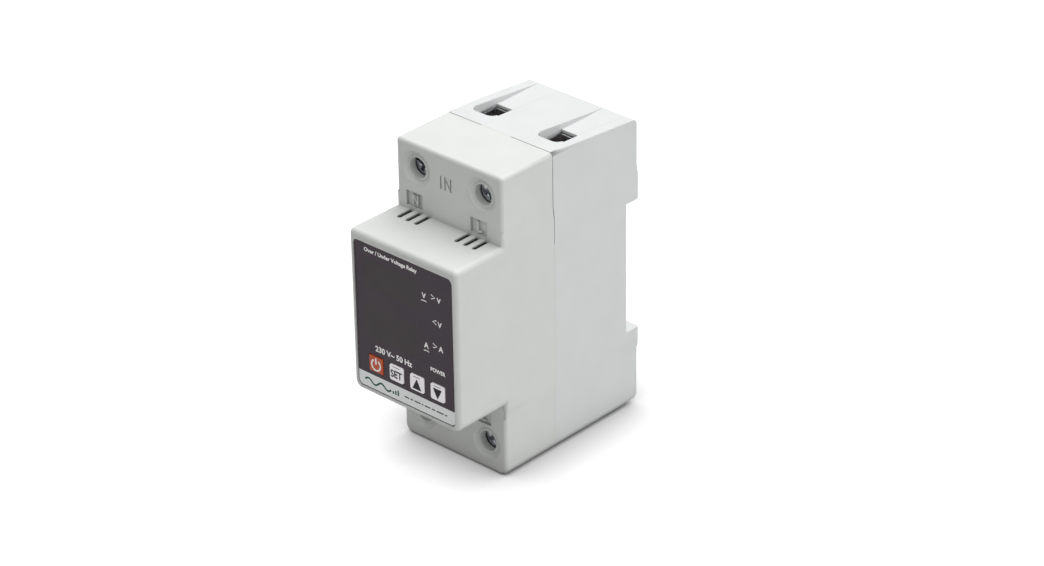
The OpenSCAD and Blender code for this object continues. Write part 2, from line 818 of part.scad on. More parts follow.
module relay_cover() {
    color([0.85, 0.82, 0.72]) difference() {
        span(relay_x, relay_y, [yoke_z, relay_z[1]]);
        span(relay_x + [1, -1] * relay_wall, relay_y + [1, -1] * relay_wall,
             [yoke_z - 1, relay_z[1] - relay_wall]);
        // slot for the fixed contact, and holes for the coil's pins
        span(about(magnet_x, blade_half_w + 0.1), fixed_y + [-0.1, 0.1],
             [relay_z[1] - 2, relay_z[1] + 1]);
        for (s = POLES)
            rod_y(relay_y[0] - 1, relay_y[0] + 2, magnet_x + s * 3.9, yoke_z + 1.7, 0.5);
    }
}

module coil_bobbin() {
    z0 = yoke_z + yoke_t;
    z1 = pole_z - 1;
    color([0.9, 0.9, 0.85]) difference() {
        union() {
            for (z = [z0, z1 - 1])
                span(about(magnet_x, 5.3), about(magnet_y, 5.3), [z, z + 1]);
            rod_z(z0, z1, magnet_x, magnet_y, 3);
        }
        rod_z(z0 - 1, z1 + 1, magnet_x, magnet_y, 2.25);
    }
    color([0.75, 0.75, 0.75]) for (s = POLES)
        rod_y(main_back, magnet_y - 5.3, magnet_x + s * 3.9, yoke_z + 1.7, 0.35);
}

module coil_winding() {
    color([0.75, 0.4, 0.2]) difference() {
        rod_z(yoke_z + yoke_t + 1.05, pole_z - 2.05, magnet_x, magnet_y, 5.1);
        rod_z(yoke_z, pole_z, magnet_x, magnet_y, 3.05);
    }
}

module relay_core() {
    color([0.6, 0.6, 0.6]) {
        rod_z(yoke_z + yoke_t, pole_z - 1 + eps, magnet_x, magnet_y, 2.2);
        rod_z(pole_z - 1, pole_z, magnet_x, magnet_y, pole_r);
    }
}

module relay_yoke() {
    x = about(magnet_x, yoke_half_w);
    color([0.65, 0.65, 0.6]) {
        span(x, yoke_y, [yoke_z, yoke_z + yoke_t]);
        span(x, [yoke_y[1] - yoke_t, yoke_y[1]], [yoke_z, yoke_top]);
        rod_x(x[0], x[1], pivot_y, yoke_top, pivot_r);
    }
}

// Bent plate that tips on the yoke's upper edge: one leg over the pole, one behind the yoke
module relay_armature() {
    x = about(magnet_x, yoke_half_w);
    color([0.7, 0.7, 0.68]) difference() {
        union() {
            span(x, [-30.4, arm_y[1]], armature_z);
            span(x, arm_y, [arm_low, armature_z[1]]);
        }
        rod_x(x[0] - 1, x[1] + 1, pivot_y, yoke_top, pivot_r + play);
    }
}

module relay_pusher() {
    color([0.9, 0.88, 0.8]) span(about(magnet_x, 3), pusher_y, [3.5, 6.5]);
}

module moving_contact() {
    color([0.75, 0.45, 0.25])
        span(about(magnet_x, blade_half_w), blade_y, [blade_foot, 16]);
    color([0.85, 0.85, 0.85])
        rod_y(blade_y[1] - eps, blade_y[1] + contact_t, magnet_x, contact_z, contact_r);
}

module fixed_contact() {
    color([0.75, 0.45, 0.25])
        span(about(magnet_x, blade_half_w), fixed_y, [6, fixed_top]);
    color([0.85, 0.85, 0.85])
        rod_y(fixed_y[0] - contact_t, fixed_y[0] + eps, magnet_x, contact_z, contact_r);
}

// ---------- conductors ----------

module neutral_bar() {
    color([0.8, 0.5, 0.3])
        span(about(-term_x, bar_half_w), bar_y, [vault_down_back + 0.6, vault_up_back - 0.6]);
}

module live_in_bar() {
    color([0.8, 0.5, 0.3]) {
        span(about(term_x, bar_half_w), bar_y, [fixed_top, vault_up_back - 0.6]);
        span([magnet_x - 3.1, term_x + bar_half_w], [bar_y[0], fixed_y[1]],
             [fixed_top, fixed_top + 1.5]);
    }
}

module live_out_bar() {
    foot = relay_z[0] - 0.4;
    neck = about(ct_x, 2.2);
    stem = about(magnet_x, 3.2);
    color([0.8, 0.5, 0.3]) {
        span(stem, [blade_y[0], blade_y[0] + 1.4], [foot - 1.5, blade_foot - 0.2]);
        span([stem[0], neck[1]], [bar_y[0], blade_y[0] + 1.4], [foot - 1.5, foot]);
        span(neck, bar_y, [room_down + 0.2, foot]);
        span(about(term_x, bar_half_w), bar_y, [vault_down_back + 0.6, room_down + 0.3]);
    }
}

// ---------- terminals ----------

// Cheese-head screw with a combined slot and cross recess
module terminal_screw(pole, end) {
    slot_w = 0.9;
    color([0.75, 0.75, 0.77]) at_terminal(pole, end) difference() {
        translate([0, head_front, 0]) rotate([-90, 0, 0]) rotate_extrude() polygon([
            [0, 0], [head_r - 0.3, 0], [head_r, 0.3], [head_r, head_back - head_front],
            [screw_d / 2, head_back - head_front],
            [screw_d / 2, screw_tip - head_front - 0.5],
            [screw_d / 2 - 0.5, screw_tip - head_front], [0, screw_tip - head_front]
        ]);
        span([-far, far], [head_front - 1, head_front + 1.1], [-slot_w / 2, slot_w / 2]);
        span([-0.55, 0.55], [head_front - 1, head_front + 1.5], [-2.1, 2.1]);
        span([-2.1, 2.1], [head_front - 1, head_front + 1.5], [-0.55, 0.55]);
    }
}

// Square clamp that the screw pulls forward, so that its back wall presses the wire on the bar
module clamp_cage(pole, end) {
    color([0.72, 0.72, 0.7]) at_terminal(pole, end) difference() {
        span(about(0, cage_half_w), cage_y, [-cage_in, cage_out]);
        span(about(0, cage_half_w - cage_wall), [cage_y[0] + cage_front, cage_y[1] - cage_back],
             [-far, far]);
        rod_y(cage_y[0] - 1, cage_y[0] + cage_front + 1, 0, 0, screw_d / 2 + play);
    }
}

// ---------- rail clip ----------

module rail_clip() {
    y0 = clip_y[0];
    y1 = clip_y[1];
    color([0.2, 0.2, 0.21]) difference() {
        union() {
            // plate with a sloping tooth at its upper end and a bent tab at its lower end
            along_x(-clip_half_w, clip_half_w) polygon([
                [y0, clip_end], [y1, clip_end + 0.6], [y1, clip_tip - 2.6],
                [y0 + 1, clip_tip], [y0, clip_tip]
            ]);
            span(about(0, clip_flange), [y0, 2.7], clip_flange_z);
        }
        span(about(0, clip_slot_half_w), [y0 - 1, y1 + 1], clip_slot_z);
        // slot for the tip of a screwdriver
        span([-2.6, 2.6], [y0 - 1, y1 + 1], [-38.9, -37.5]);
    }
}

// Round wire swept along a helix, as rings of points joined by quadrilaterals
module clip_spring() {
    sides = 6;
    steps = 12 * spring_turns;
    low = post_z[1] + spring_wire_r;
    rise = clip_slot_z[1] - spring_wire_r - low;
    ring = [for (i = [0:steps]) let (a = 360 * spring_turns * i / steps, z = low + rise * i / steps)
        for (j = [0:sides - 1]) let (b = 360 * j / sides, r = spring_r + spring_wire_r * cos(b))
            [r * cos(a), r * sin(a) + 2.75, z + spring_wire_r * sin(b)]];
    quads = [for (i = [0:steps - 1], j = [0:sides - 1]) let (k = (j + 1) % sides)
        [i * sides + j, (i + 1) * sides + j, (i + 1) * sides + k, i * sides + k]];
    caps = [[for (j = [0:sides - 1]) j], [for (j = [sides - 1:-1:0]) steps * sides + j]];
    color([0.7, 0.7, 0.72]) polyhedron(ring, concat(quads, caps));
}

front_shell();
rear_base();
front_overlay();
vent_gauze();
key_cap(0, [0.85, 0.35, 0.1]);  // key_power
key_cap(1, [0.85, 0.85, 0.85]);  // key_set
key_cap(2, [0.85, 0.85, 0.85]);  // key_up
key_cap(3, [0.85, 0.85, 0.85]);  // key_down
key_stem(0);  // stem_power
key_stem(1);  // stem_set
key_stem(2);  // stem_up
key_stem(3);  // stem_down
tact_switches();
display_board();
digit_module(window_z[0]);  // voltage_display
digit_module(window_z[1]);  // current_display
indicator_lamps();
controller_chip();
board_header();
main_board();
dropper_capacitor();
smoothing_capacitor();
varistor();
fuse_resistor();
bridge_rectifier();
driver_chip();
sense_leads();
transformer_leads();
current_transformer();
relay_base();
relay_cover();
coil_bobbin();
coil_winding();
relay_core();
relay_yoke();
relay_armature();
relay_pusher();
moving_contact();
fixed_contact();
neutral_bar();
live_in_bar();
live_out_bar();
terminal_screw(-1, 1);  // screw_in_n
terminal_screw(1, 1);  // screw_in_l
terminal_screw(-1, -1);  // screw_out_n
terminal_screw(1, -1);  // screw_out_l
clamp_cage(-1, 1);  // cage_in_n
clamp_cage(1, 1);  // cage_in_l
clamp_cage(-1, -1);  // cage_out_n
clamp_cage(1, -1);  // cage_out_l
rail_clip();
clip_spring();
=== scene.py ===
import json
import math

import bmesh
import bpy
from mathutils import Matrix, Vector


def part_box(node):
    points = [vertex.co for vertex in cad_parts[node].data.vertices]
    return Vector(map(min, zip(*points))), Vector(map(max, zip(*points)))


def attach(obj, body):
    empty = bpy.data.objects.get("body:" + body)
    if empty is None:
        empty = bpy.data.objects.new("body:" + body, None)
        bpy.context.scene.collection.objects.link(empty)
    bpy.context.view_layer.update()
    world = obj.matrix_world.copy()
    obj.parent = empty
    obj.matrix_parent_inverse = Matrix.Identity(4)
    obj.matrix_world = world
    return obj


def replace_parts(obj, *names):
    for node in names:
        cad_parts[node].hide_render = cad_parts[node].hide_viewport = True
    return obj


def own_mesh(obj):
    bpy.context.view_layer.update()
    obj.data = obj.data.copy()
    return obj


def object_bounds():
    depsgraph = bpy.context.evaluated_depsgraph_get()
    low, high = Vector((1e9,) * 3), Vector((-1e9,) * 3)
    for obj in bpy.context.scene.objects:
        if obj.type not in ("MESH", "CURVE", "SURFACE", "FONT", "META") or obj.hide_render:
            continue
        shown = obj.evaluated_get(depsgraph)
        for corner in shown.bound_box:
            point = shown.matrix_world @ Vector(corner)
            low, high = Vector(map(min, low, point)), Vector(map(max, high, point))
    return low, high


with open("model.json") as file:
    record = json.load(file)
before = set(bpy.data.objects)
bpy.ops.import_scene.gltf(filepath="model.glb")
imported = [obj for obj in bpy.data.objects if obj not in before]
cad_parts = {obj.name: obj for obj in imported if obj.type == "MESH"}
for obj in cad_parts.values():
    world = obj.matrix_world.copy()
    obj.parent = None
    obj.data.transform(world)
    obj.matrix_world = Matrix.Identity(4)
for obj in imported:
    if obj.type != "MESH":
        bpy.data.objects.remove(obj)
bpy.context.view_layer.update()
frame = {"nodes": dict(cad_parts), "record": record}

# A two-module rail-mounted voltage and current protector. Outlines and sizes of pieces are in
# millimetres until from_bmesh turns them into metres. Materials, lights and the camera are in
# metres throughout. X runs to the right, Y to the back and Z up.

MM = 0.001
SCENE = bpy.context.scene


# ---------------------------------------------------------------- colour and materials

def srgb(red, green, blue):
    """A display colour, 0 to 255, as the linear colour that the shader takes."""
    def linear(value):
        value /= 255
        return value / 12.92 if value <= 0.04045 else ((value + 0.055) / 1.055) ** 2.4
    return linear(red), linear(green), linear(blue), 1.0


def shade(colour, factor):
    """The same colour, made lighter or darker."""
    return tuple(min(1.0, c * factor) for c in colour[:3]) + (1.0,)


RECESS_REACH = 0.0035    # metres: painted shade fills holes and grooves narrower than this
RECESS_SHADE = 0.56      # how much colour the painted shade leaves deep inside a recess


class Finish:
    """A Principled material whose pattern lies in object space, in metres."""

    def __init__(self, name, colour, **sockets):
        self.material = bpy.data.materials.new(name)
        self.material.use_nodes = True
        self.tree = self.material.node_tree
        self.shader = self.tree.nodes["Principled BSDF"]
        self.shader.inputs["Base Color"].default_value = colour
        self.colour = colour
        self.normal = None
        for socket, value in sockets.items():
            self.shader.inputs[socket.replace("_", " ")].default_value = value
        self.place = self.tree.nodes.new("ShaderNodeTexCoord").outputs["Object"]

    def link(self, source, target):
        self.tree.links.new(source, target)

    def node(self, kind, inputs=None, **settings):
        """A new node. Each of its inputs is a value or another node's output."""
        made = self.tree.nodes.new(kind)
        for setting, value in settings.items():
            setattr(made, setting, value)
        for socket, value in (inputs or {}).items():
            if isinstance(value, bpy.types.NodeSocket):
                self.link(value, made.inputs[socket])
            else:
                made.inputs[socket].default_value = value
        return made

    def stretched(self, stretch):
        """Object space with each axis scaled, for grain that runs one way."""
        return self.node("ShaderNodeMapping", {"Vector": self.place, "Scale": stretch}).outputs[0]

    def noise(self, size, detail=2.0, roughness=0.5, stretch=(1, 1, 1)):
        """Noise whose blobs are about size metres across."""
        return self.node("ShaderNodeTexNoise", {
            "Vector": self.stretched(stretch), "Scale": 1 / size,
            "Detail": detail, "Roughness": roughness}).outputs["Fac"]

    def levels(self, factor, low, high, at=(0.35, 0.65)):
        """Spreads a 0 to 1 factor over the range from low to high."""
        return self.node("ShaderNodeMapRange", {
            "Value": factor, "From Min": at[0], "From Max": at[1],
            "To Min": low, "To Max": high}).outputs[0]

    def mix(self, factor, first, second, blend="MIX"):
        """Blends two colours. Each argument is a value or another node's output."""
        made = self.node("ShaderNodeMix", data_type="RGBA", blend_type=blend)
        for socket, value in ((0, factor), (6, first), (7, second)):
            if isinstance(value, bpy.types.NodeSocket):
                self.link(value, made.inputs[socket])
            else:
                made.inputs[socket].default_value = value
        return made.outputs[2]

    def feed(self, socket, source):
        """Drives one of the shader's sockets by a pattern."""
        self.link(source, self.shader.inputs[socket])

    def mottle(self, amount, size):
        """Slow change of the colour by amount either way."""
        factor = self.levels(self.noise(size, 3), 0, 1)
        return self.mix(factor, shade(self.colour, 1 - amount), shade(self.colour, 1 + amount))

    def painted_recess_shade(self, source):
        """Paints shade into source: darkens it in holes and grooves that are narrower than about
        RECESS_REACH.
        """
        # painted shade: ambient occlusion darkens the colour where light is hidden
        painted_shade_ao = self.node("ShaderNodeAmbientOcclusion", {"Distance": RECESS_REACH},
                             samples=8).outputs["AO"]
        return self.mix(1.0, source, self.levels(painted_shade_ao, RECESS_SHADE, 1, (0.15, 0.8)),
                        "MULTIPLY")

    def bump(self, height, depth, strength=1.0):
        """Adds relief, depth metres high, on top of what is there."""
        inputs = {"Height": height, "Distance": depth, "Strength": strength}
        if self.normal:
            inputs["Normal"] = self.normal
        self.normal = self.node("ShaderNodeBump", inputs).outputs[0]
        self.link(self.normal, self.shader.inputs["Normal"])


def moulded(name, colour, roughness=0.48, grain=0.00032, depth=0.000012, mottling=0.02, edge=0.0,
            **sockets):
    """Injection-moulded plastic: fine spark grain, faint flow marks and handling shine.

    edge is the radius in metres at which sharp edges catch the light.
    It also turns on painted shade in holes and grooves."""
    finish = Finish(name, colour, **sockets)
    tint = finish.mottle(mottling, 0.009)
    if edge:
        finish.normal = finish.node("ShaderNodeBevel", {"Radius": edge}, samples=6).outputs[0]
        # painted shade: the colour darkens in holes and grooves
        tint = finish.painted_recess_shade(tint)
    finish.feed("Base Color", tint)
    finish.feed("Roughness", finish.levels(
        finish.noise(0.004, 4), roughness - 0.06, roughness + 0.06))
    finish.bump(finish.noise(0.012, 2, stretch=(1, 0.5, 0.25)), depth * 3, 0.25)
    finish.bump(finish.noise(grain, 2, 0.6), depth, 0.55)
    return finish.material


def metal(name, colour, roughness=0.3, stretch=(1, 1, 8), tarnish=None):
    """Plated or bare metal: drawn lines along one axis and patchy tarnish."""
    finish = Finish(name, colour, Metallic=1.0)
    lines = finish.noise(0.0005, 3, stretch=stretch)
    patches = finish.levels(finish.noise(0.0022, 4), 0, 1, (0.42, 0.7))
    finish.feed("Base Color", finish.mix(patches, finish.mottle(0.06, 0.0015),
                                         tarnish or shade(colour, 0.72)))
    finish.feed("Roughness", finish.levels(lines, roughness - 0.1, roughness + 0.12))
    finish.bump(lines, 0.000008, 0.5)
    return finish.material


def coated(name, colour, roughness=0.35, mottling=0.05, depth=0.00002, **sockets):
    """Dipped epoxy or lacquer: orange peel and small runs."""
    finish = Finish(name, colour, **sockets)
    finish.feed("Base Color", finish.mottle(mottling, 0.0025))
    finish.feed("Roughness", finish.levels(
        finish.noise(0.002, 3), roughness - 0.08, roughness + 0.1))
    finish.bump(finish.noise(0.0009, 2), depth, 0.6)
    return finish.material


def board_laminate(name, mask, copper):
    """Circuit board: solder mask over copper tracks, with the weave just showing."""
    finish = Finish(name, mask, Roughness=0.3, IOR=1.5)
    bend = finish.node("ShaderNodeVectorMath", {0: finish.place, 1: (900, 900, 900)},
                       operation="MULTIPLY")
    tracks = finish.node("ShaderNodeTexVoronoi", {"Vector": bend.outputs[0], "Scale": 0.42},
                         distance="CHEBYCHEV", feature="DISTANCE_TO_EDGE").outputs[0]
    edge = finish.node("ShaderNodeMapRange", {
        "Value": tracks, "From Min": 0.05, "From Max": 0.09,
        "To Min": 1.0, "To Max": 0.0}).outputs[0]
    finish.feed("Base Color", finish.mix(edge, finish.mottle(0.06, 0.004), copper))
    weave = finish.node("ShaderNodeTexWave", {
        "Vector": finish.place, "Scale": 900, "Distortion": 0.6}, bands_direction="DIAGONAL")
    finish.bump(weave.outputs["Fac"], 0.000004, 0.3)
    finish.bump(edge, 0.00003, 0.5)
    return finish.material


def film(name, colour, roughness=0.3, **sockets):
    """Printed polycarbonate film: nearly smooth, with slight ripples and a velvet face."""
    finish = Finish(name, colour, **sockets)
    finish.feed("Base Color", finish.mottle(0.04, 0.012))
    finish.feed("Roughness", finish.levels(
        finish.noise(0.006, 3), roughness - 0.03, roughness + 0.05))
    finish.bump(finish.noise(0.009, 1), 0.000012, 0.35)
    finish.bump(finish.noise(0.00016, 1), 0.000003, 0.35)
    return finish.material


def gauze(name, colour):
    """Plain-woven black gauze: crossed threads with small dark gaps."""
    finish = Finish(name, colour, Roughness=0.9)
    threads = [finish.node("ShaderNodeTexWave", {"Vector": finish.place, "Scale": 420},
                           bands_direction=way).outputs["Fac"] for way in "XY"]
    weave = finish.node("ShaderNodeMath", {0: threads[0], 1: threads[1]},
                        operation="MAXIMUM").outputs[0]
    finish.feed("Base Color", finish.mix(weave, shade(colour, 0.4), finish.mottle(0.1, 0.003)))
    finish.bump(weave, 0.00006, 0.7)
    return finish.material


def ink(name, colour, glow=0.0):
    """Screen-printed ink with a slightly uneven coat. An ink with a glow looks brighter."""
    finish = Finish(name, colour, Roughness=0.45, Specular_IOR_Level=0.2,
                    Emission_Color=colour, Emission_Strength=glow)
    finish.feed("Base Color", finish.mottle(0.03, 0.0009))
    finish.bump(finish.noise(0.0002, 2), 0.000003, 0.5)
    return finish.material


def spun(name, colour, roughness, size):
    """Copper wire, magnet wire lacquer over it, or a drawn steel wire."""
    finish = Finish(name, colour, Metallic=1.0, Coat_Weight=0.4, Coat_Roughness=0.15)
    finish.feed("Base Color", finish.mottle(0.12, size * 3))
    finish.feed("Roughness", finish.levels(
        finish.noise(size, 3), roughness - 0.06, roughness + 0.1))
    finish.bump(finish.noise(size * 0.3, 2), 0.000004, 0.4)
    return finish.material


SHELL_GREY = srgb(222, 224, 221)
BASE_GREY = srgb(223, 225, 225)
OVERLAY_BLACK = srgb(50, 36, 48)
STRIP_GREY = srgb(240, 242, 242)
KEY_GREY = srgb(250, 246, 250)
KEY_ORANGE = srgb(200, 76, 14)
SHELL_EDGE = 0.00022    # metres

MATERIALS = {
    # both shells get painted shade in their holes and grooves by way of edge
    "shell_plastic": moulded("shell_plastic", SHELL_GREY, 0.5, mottling=0.012, edge=SHELL_EDGE),
    "base_plastic": moulded("base_plastic", BASE_GREY, 0.5, mottling=0.012, edge=SHELL_EDGE),
    "overlay_film": film("overlay_film", OVERLAY_BLACK, 0.36, Specular_IOR_Level=0.25),
    "gauze_fabric": gauze("gauze_fabric", srgb(24, 24, 26)),
    "key_orange": moulded("key_orange", KEY_ORANGE, 0.4, 0.0003, 0.000006, 0.03),
    # the grey keys glow a little: painted light that makes them look brighter
    "key_grey": moulded("key_grey", KEY_GREY, 0.42, 0.0003, 0.000006, 0.02,
                        Emission_Color=KEY_GREY, Emission_Strength=0.17),
    "stem_plastic": moulded("stem_plastic", srgb(38, 38, 40), 0.4),
    "switch_body": moulded("switch_body", srgb(52, 53, 56), 0.42),
    "circuit_board": board_laminate("circuit_board", srgb(24, 92, 52), srgb(44, 128, 74)),
    "display_module": moulded("display_module", srgb(34, 33, 34), 0.35, mottling=0.05),
    "lamp_epoxy": coated("lamp_epoxy", srgb(226, 226, 214), 0.12, 0.02, 0.000002,
                         Transmission_Weight=0.55),
    "chip_epoxy": moulded("chip_epoxy", srgb(36, 37, 39), 0.55, 0.00012, 0.000006, 0.08),
    "header_plastic": moulded("header_plastic", srgb(28, 28, 30), 0.45),
    "film_capacitor": moulded("film_capacitor", srgb(212, 172, 38), 0.3, mottling=0.03),
    "capacitor_sleeve": film("capacitor_sleeve", srgb(32, 36, 66), 0.22),
    "varistor_coat": coated("varistor_coat", srgb(24, 62, 140)),
    "resistor_coat": coated("resistor_coat", srgb(186, 168, 128), 0.5),
    "lead_insulation": coated("lead_insulation", srgb(150, 28, 26), 0.38, 0.05, 0.000008),
    "transformer_case": coated("transformer_case", srgb(36, 42, 84), 0.3, 0.06, 0.000015),
    "relay_case": moulded("relay_case", srgb(216, 208, 184), 0.35, mottling=0.03),
    "bobbin_plastic": moulded("bobbin_plastic", srgb(228, 226, 216), 0.4),
    "coil_copper": spun("coil_copper", srgb(196, 110, 62), 0.28, 0.0003),
    "soft_iron": metal("soft_iron", srgb(176, 176, 172), 0.34, (1, 8, 1), srgb(140, 132, 120)),
    "contact_copper": metal("contact_copper", srgb(214, 142, 104), 0.3, (1, 1, 8),
                            srgb(160, 96, 66)),
    "bar_copper": metal("bar_copper", srgb(212, 140, 102), 0.32, (1, 1, 8), srgb(150, 88, 60)),
    "zinc_steel": metal("zinc_steel", srgb(198, 202, 206), 0.3, (1, 8, 1), srgb(150, 156, 160)),
    "clip_plastic": moulded("clip_plastic", srgb(46, 47, 50), 0.42, mottling=0.06),
    "spring_steel": spun("spring_steel", srgb(182, 184, 188), 0.25, 0.0002),
}
WINDOW_SMOKE = film("window_smoke", srgb(42, 31, 36), 0.36, Specular_IOR_Level=0.25,
                    Transmission_Weight=0.12)
# the light strip glows a little: painted light that makes it look brighter
STRIP_FILM = film("strip_film", STRIP_GREY, 0.34,
                  Emission_Color=STRIP_GREY, Emission_Strength=0.07)
# the white ink glows a little: painted light that makes the print look brighter
WHITE_INK = ink("white_ink", srgb(252, 252, 250), 0.12)
DARK_INK = ink("dark_ink", srgb(16, 14, 17))
GREEN_INK = ink("green_ink", srgb(22, 84, 62))

SLOT_OF = {row["node"]: row["material_slot"] for row in frame["record"]["subparts"]}
BODY_OF = {node: body for body, nodes in frame["record"]["behaviour"]["bodies"].items()
           for node in nodes}


def dress(node):
    """Gives a CAD node the procedural material of its slot."""
    mesh = frame["nodes"][node].data
    mesh.materials.clear()
    mesh.materials.append(MATERIALS[SLOT_OF[node]])


for node in frame["nodes"]:
    dress(node)


# ---------------------------------------------------------------- mesh building

def keep(name, mesh, body, slot, material=None):
    """Puts a finished mesh in the scene on its body."""
    piece = bpy.data.objects.new(name, mesh)
    SCENE.collection.objects.link(piece)
    if not mesh.materials:
        mesh.materials.append(material or MATERIALS[slot])
    piece.modifiers.new("even_normals", "WEIGHTED_NORMAL").keep_sharp = True
    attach(piece, body)
    return piece


SHARP = 35.0    # degrees between faces at which an edge stays sharp


def from_bmesh(name, bm, sharp=SHARP):
    """A mesh in metres from a bmesh in millimetres, smooth except along sharp edges."""
    bmesh.ops.remove_doubles(bm, verts=bm.verts, dist=1e-5)
    bmesh.ops.recalc_face_normals(bm, faces=bm.faces)
    bmesh.ops.scale(bm, vec=(MM, MM, MM), verts=bm.verts)
    mesh = bpy.data.meshes.new(name)
    bm.to_mesh(mesh)
    bm.free()
    mesh.shade_smooth()
    mesh.set_sharp_from_angle(angle=math.radians(sharp))
    return mesh


def arc(centre, radius, start, end, count):
    """Points of an arc in the (x, z) plane, angles in degrees from +X."""
    steps = [math.radians(start + (end - start) * i / count) for i in range(count + 1)]
    return [(centre[0] + radius * math.cos(a), centre[1] + radius * math.sin(a)) for a in steps]


def round_rect(x, z, radii, steps=8):
    """Outline over the ranges x and z. The radii start at the lower left and run on through
    the lower right, the upper right and the upper left."""
    corners = ((x[0], z[0], 1, 1, 180), (x[1], z[0], -1, 1, 270),
               (x[1], z[1], -1, -1, 0), (x[0], z[1], 1, -1, 90))
    points = []
    for (cx, cz, sx, sz, start), radius in zip(corners, radii):
        if radius > 0:
            points += arc((cx + sx * radius, cz + sz * radius), radius, start, start + 90, steps)
        else:
            points.append((cx, cz))
    return points


def plate(name, outlines, front, back, bevel=0.0):
    """A flat plate between two y planes from closed (x, z) outlines: the first is its rim,
    the rest are holes. Its front edges are rounded by bevel."""
    curve = bpy.data.curves.new(name, "CURVE")
    curve.dimensions = "2D"
    curve.fill_mode = "BOTH"
    curve.extrude = max(0.0, (back - front) / 2 - bevel)
    curve.bevel_depth = bevel
    curve.bevel_resolution = 2
    curve.offset = -bevel
    for outline in outlines:
        spline = curve.splines.new("POLY")
        spline.points.add(len(outline) - 1)
        spline.use_cyclic_u = True
        for point, (x, z) in zip(spline.points, outline):
            point.co = (x, z, 0, 1)
    return flattened(name, curve, (front + back) / 2)


def flattened(name, curve, middle):
    """A curve or text drawn in (x, z), as a mesh standing at the y plane middle."""
    holder = bpy.data.objects.new(name, curve)
    SCENE.collection.objects.link(holder)
    bpy.context.view_layer.update()
    mesh = bpy.data.meshes.new_from_object(
        holder.evaluated_get(bpy.context.evaluated_depsgraph_get()))
    bpy.data.objects.remove(holder)
    bpy.data.curves.remove(curve)
    mesh.transform(Matrix.Translation((0, middle, 0)) @ Matrix.Rotation(math.pi / 2, 4, "X"))
    bm = bmesh.new()
    bm.from_mesh(mesh)
    bpy.data.meshes.remove(mesh)
    return from_bmesh(name, bm)


CAPITAL = 0.73    # height of a capital letter over the font's size


def lettering(name, text, x, z, height, front, thick, width=None, bold=0.0):
    """Text centred on (x, z), its capitals height tall, raised by thick in front of the plane."""
    curve = bpy.data.curves.new(name, "FONT")
    curve.body = text
    curve.align_x = "CENTER"
    curve.align_y = "CENTER"
    curve.size = height / CAPITAL
    curve.extrude = thick / 2
    curve.offset = bold
    curve.resolution_u = 3
    mesh = flattened(name, curve, front - thick / 2)
    lows = [min(v.co[i] for v in mesh.vertices) for i in range(3)]
    highs = [max(v.co[i] for v in mesh.vertices) for i in range(3)]
    squeeze = width * MM / (highs[0] - lows[0]) if width else 1.0
    mesh.transform(
        Matrix.Translation((x * MM, 0, z * MM))
        @ Matrix.Diagonal((squeeze, 1, 1, 1))
        @ Matrix.Translation((-(lows[0] + highs[0]) / 2, 0, -(lows[2] + highs[2]) / 2)))
    return mesh


def stroke(points, width):
    """Outline of a band of the given width along open (x, z) points."""
    left, right = [], []
    for i, point in enumerate(points):
        before = points[max(i - 1, 0)]
        after = points[min(i + 1, len(points) - 1)]
        dx, dz = after[0] - before[0], after[1] - before[1]
        run = math.hypot(dx, dz)
        nx, nz = -dz / run * width / 2, dx / run * width / 2
        left.append((point[0] + nx, point[1] + nz))
        right.append((point[0] - nx, point[1] - nz))
    return left + right[::-1]


def merged(name, meshes):
    """Several meshes as one."""
    bm = bmesh.new()
    for mesh in meshes:
        bm.from_mesh(mesh)
        bpy.data.meshes.remove(mesh)
    mesh = bpy.data.meshes.new(name)
    bm.to_mesh(mesh)
    bm.free()
    mesh.shade_smooth()
    mesh.set_sharp_from_angle(angle=math.radians(SHARP))
    return mesh


def loft(bm, rings, close_start=True, close_end=True):
    """Skins a list of closed rings of equal length."""
    rows = [[bm.verts.new(p) for p in ring] for ring in rings]
    count = len(rows[0])
    for first, second in zip(rows, rows[1:]):
        for i in range(count):
            j = (i + 1) % count
            bm.faces.new((first[i], first[j], second[j], second[i]))
    if close_start:
        bm.faces.new(rows[0])
    if close_end:
        bm.faces.new(rows[-1])


def plain_object(name, bm):
    """An object straight from a bmesh, with no change of units."""
    mesh = bpy.data.meshes.new(name)
    bm.to_mesh(mesh)
    bm.free()
    made = bpy.data.objects.new(name, mesh)
    SCENE.collection.objects.link(made)
    return made


# ---------------------------------------------------------------- front overlay and its print

def millimetres(node):
    """Lowest and highest corner of a CAD node, in millimetres."""
    low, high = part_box(node)
    return [c / MM for c in low], [c / MM for c in high]


def middle_of(node):
    """The middle of a CAD node along each axis, in millimetres."""
    low, high = millimetres(node)
    return [(a + b) / 2 for a, b in zip(low, high)]


OVERLAY_LOW, OVERLAY_HIGH = millimetres("front_overlay")
OVERLAY_FRONT, OVERLAY_BACK = OVERLAY_LOW[1], OVERLAY_HIGH[1]
PANEL_CORNER = 1.4
WINDOW_CORNER = 0.5
STRIP_TOP = -15.0        # the light strip ends here
PRINT_LINE = -17.0       # height of the middle of what is printed on the strip
PRINT_LIFT = 0.015       # thickness of the ink
KEY_FACE = 4.7, 4.5
KEY_GAP = 0.15


def key_opening(node):
    """Outline of the hole that a key comes through."""
    x, _, z = middle_of(node)
    half = [size / 2 + KEY_GAP for size in KEY_FACE]
    return round_rect((x - half[0], x + half[0]), (z - half[1], z + half[1]), [0.25] * 4, 3)


def window_outline(ranges):
    return round_rect(*ranges, [WINDOW_CORNER] * 4, 4)


def case_plate(name, outlines, front, back, bevel=0.0, material=None):
    """A flat plate on the case, in the overlay's material unless another is given."""
    return keep(name, plate(name, outlines, front, back, bevel), "case", "overlay_film", material)


KEY_NODES = ["key_power", "key_set", "key_up", "key_down"]
WINDOWS = {"voltage": ((-13.4, 5.1), (9.5, 17.7)), "current": ((-13.8, 4.3), (-4.4, 4.7))}


